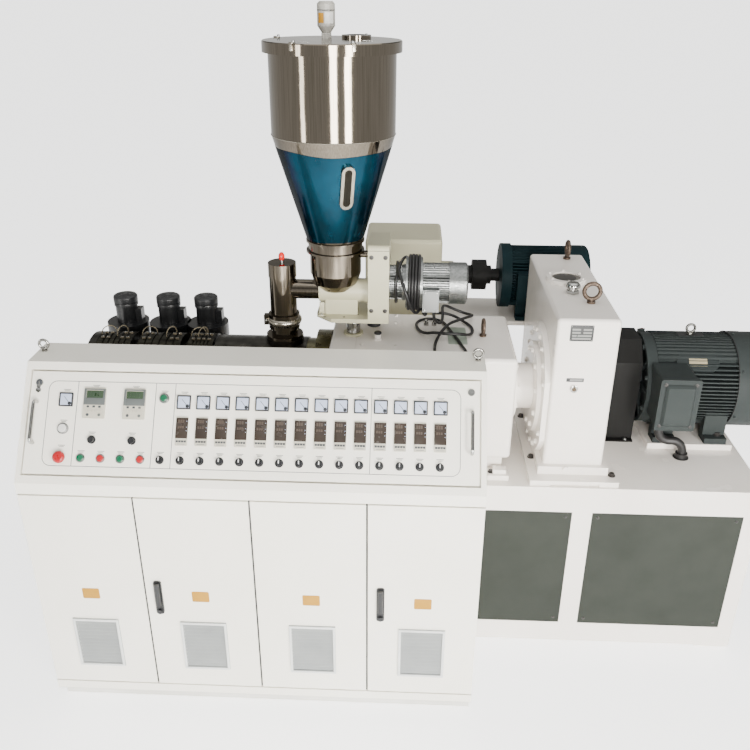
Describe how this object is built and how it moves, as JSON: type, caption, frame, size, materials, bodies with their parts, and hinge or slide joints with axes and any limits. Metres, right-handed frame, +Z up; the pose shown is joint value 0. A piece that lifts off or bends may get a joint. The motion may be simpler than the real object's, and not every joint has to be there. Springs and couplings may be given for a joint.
{
  "type": "plastic extruder",
  "caption": "Conical twin-screw plastic extruder with its control console, feed hopper, tall gearbox and main motor on one base frame.",
  "frame": {"origin": "on the floor under the middle of the machine, without its free cable", "axes": "+X from the die end to the main motor, +Y from the console doors to the back, +Z up"},
  "size_m": [2.791, 1.66, 2.47],
  "materials": {
    "cabinet_enamel": "satin",
    "filter_grille": "matte",
    "black_plastic": "satin",
    "instrument_plastic": "satin",
    "button_plastic": "gloss",
    "polished_steel": "mirror polish",
    "red_plastic": "gloss",
    "machine_white": "gloss",
    "cover_green": "satin",
    "eye_steel": "rusted",
    "barrel_steel": "oiled",
    "guard_black": "satin",
    "motor_grey": "satin",
    "black_rubber": "satin",
    "sensor_plastic": "satin",
    "feeder_beige": "satin",
    "cast_aluminium": "cast",
    "motor_teal": "gloss"
  },
  "bodies": {
    "machine": {"cabinet_side_walls": "cabinet_enamel", "cabinet_back_wall": "cabinet_enamel", "cabinet_roof": "cabinet_enamel", "cabinet_front_frame": "cabinet_enamel", "cabinet_plinth": "cabinet_enamel", "lifting_eyes": "eye_steel", "console_frame": "cabinet_enamel", "base_frame": "machine_white", "base_side_panels": "cover_green", "barrel": "barrel_steel", "barrel_screws": "barrel_steel", "barrel_heaters": "barrel_steel", "barrel_flange": "barrel_steel", "barrel_support": "barrel_steel", "barrel_blowers": "black_plastic", "distribution_casing": "machine_white", "neck_flange": "machine_white", "gearbox_housing": "machine_white", "gearbox_fittings": "machine_white", "coupling_guard": "guard_black", "motor_housing": "motor_grey", "motor_end_shield": "motor_grey", "motor_fan_cowl": "motor_grey", "motor_base_plate": "machine_white", "motor_terminal_box": "motor_grey", "motor_conduit": "black_rubber", "hopper_cylinder": "polished_steel", "hopper_cone": "polished_steel", "hopper_lid": "polished_steel", "hopper_fittings": "sensor_plastic", "feeder_bowl": "polished_steel", "feed_tubes": "polished_steel", "drop_tube_knob": "red_plastic", "feeder_base": "feeder_beige", "chain_cover": "feeder_beige", "feeder_motor": "cast_aluminium", "feeder_cable_coil": "black_rubber", "feeder_cable": "black_rubber", "feeder_power_cable": "black_rubber", "vacuum_pump": "feeder_beige", "pump_motor": "motor_teal", "pump_stand": "machine_white"},
    "door_leaf_1": {"door_1": "cabinet_enamel", "vent_grille_1": "filter_grille"},
    "door_leaf_2": {"door_2": "cabinet_enamel", "vent_grille_2": "filter_grille", "door_handle_2": "black_plastic"},
    "door_leaf_3": {"door_3": "cabinet_enamel", "vent_grille_3": "filter_grille"},
    "door_leaf_4": {"door_4": "cabinet_enamel", "vent_grille_4": "filter_grille", "door_handle_4": "black_plastic"},
    "console_panel": {"instrument_panel": "cabinet_enamel", "panel_meters": "instrument_plastic", "temperature_controllers": "instrument_plastic", "selector_knobs": "black_plastic", "push_buttons": "button_plastic", "inverter_keypads": "instrument_plastic", "panel_handles": "polished_steel"},
    "pump_rotor": {"pump_coupling": "guard_black"}
  },
  "joints": [
    {"name": "door_1_hinge", "type": "hinge", "parent": "machine", "child": "door_leaf_1", "pos_m": [-1.3955, -0.809, 0.13], "axis": [0, 0, -1], "range_deg": [0, 110]},
    {"name": "door_2_hinge", "type": "hinge", "parent": "machine", "child": "door_leaf_2", "pos_m": [-0.611, -0.809, 0.13], "axis": [0, 0, 1], "range_deg": [0, 85]},
    {"name": "door_3_hinge", "type": "hinge", "parent": "machine", "child": "door_leaf_3", "pos_m": [-0.605, -0.809, 0.13], "axis": [0, 0, -1], "range_deg": [0, 85]},
    {"name": "door_4_hinge", "type": "hinge", "parent": "machine", "child": "door_leaf_4", "pos_m": [0.1795, -0.809, 0.13], "axis": [0, 0, 1], "range_deg": [0, 110]},
    {"name": "console_panel_hinge", "type": "hinge", "parent": "machine", "child": "console_panel", "pos_m": [-1.3715, -0.78931, 1.03849], "axis": [1, 0, 0], "range_deg": [0, 75]},
    {"name": "pump_coupling_turn", "type": "hinge", "parent": "machine", "child": "pump_rotor", "pos_m": [0.0595, 0.671, 1.277], "axis": [1, 0, 0], "continuous": true}
  ]
}
